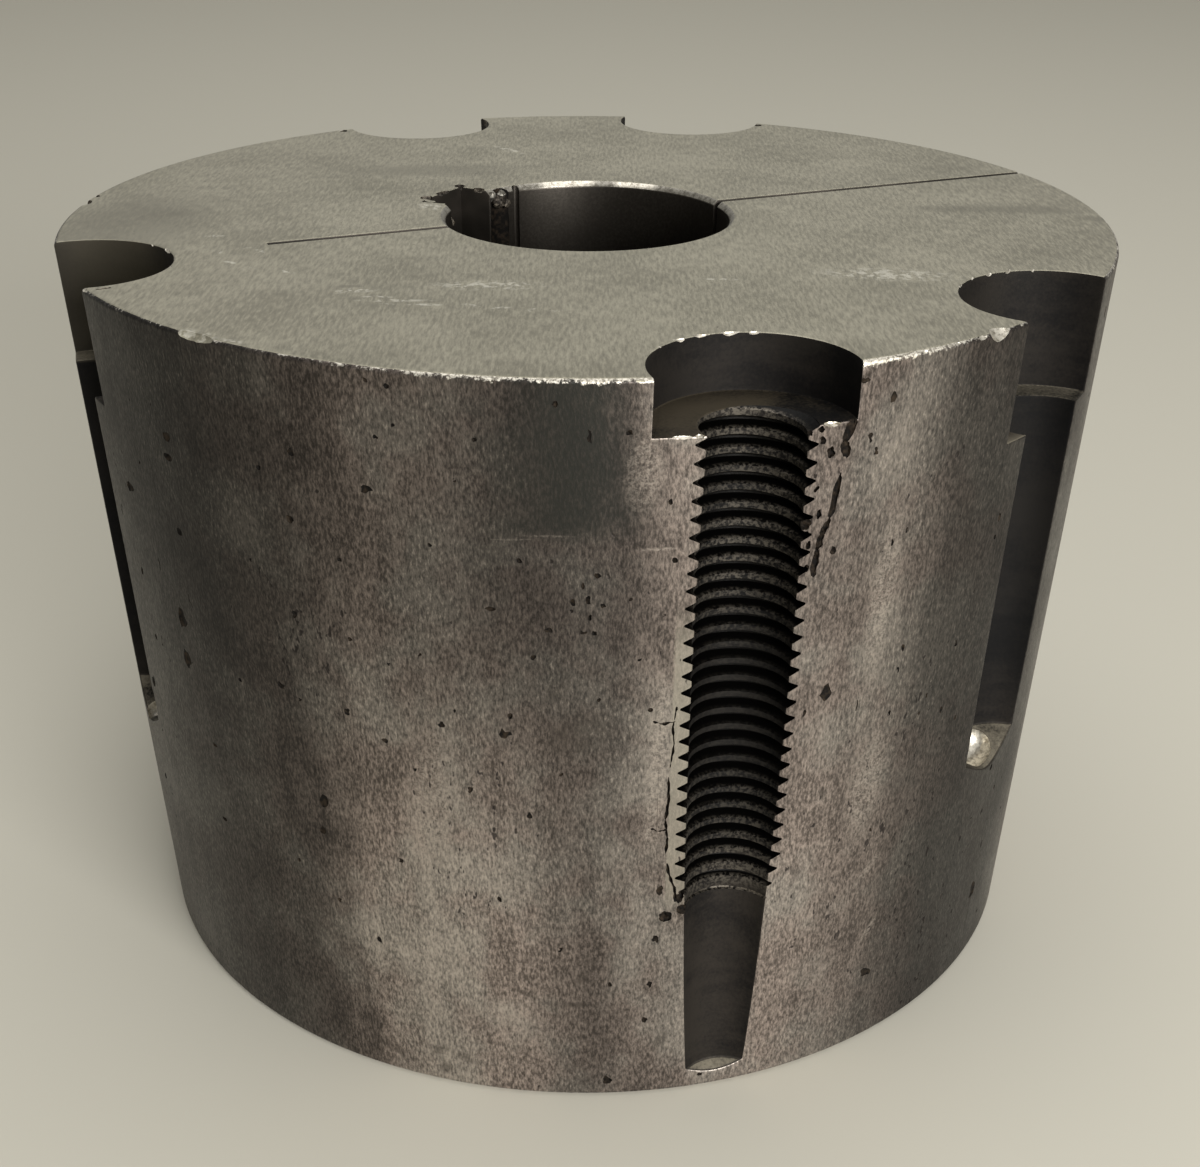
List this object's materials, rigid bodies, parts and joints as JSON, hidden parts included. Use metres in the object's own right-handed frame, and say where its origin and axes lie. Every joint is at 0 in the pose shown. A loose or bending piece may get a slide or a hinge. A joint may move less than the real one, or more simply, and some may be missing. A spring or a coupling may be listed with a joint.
{
  "type": "taper bush",
  "caption": "Split tapered bush with a keyed bore, a relief slit, and counterbored plain and tapped half-holes around the rim of its large end.",
  "frame": {"origin": "centre of the small end face, on the bore's axis", "axes": "+Z along the bore towards the large end, +X out through the split"},
  "size_m": [0.1263, 0.1264, 0.0889],
  "materials": {
    "bush_iron": "machined, worn, pitted and lightly oiled"
  },
  "bodies": {
    "root": {"taper_bush": "bush_iron"}
  },
  "joints": []
}
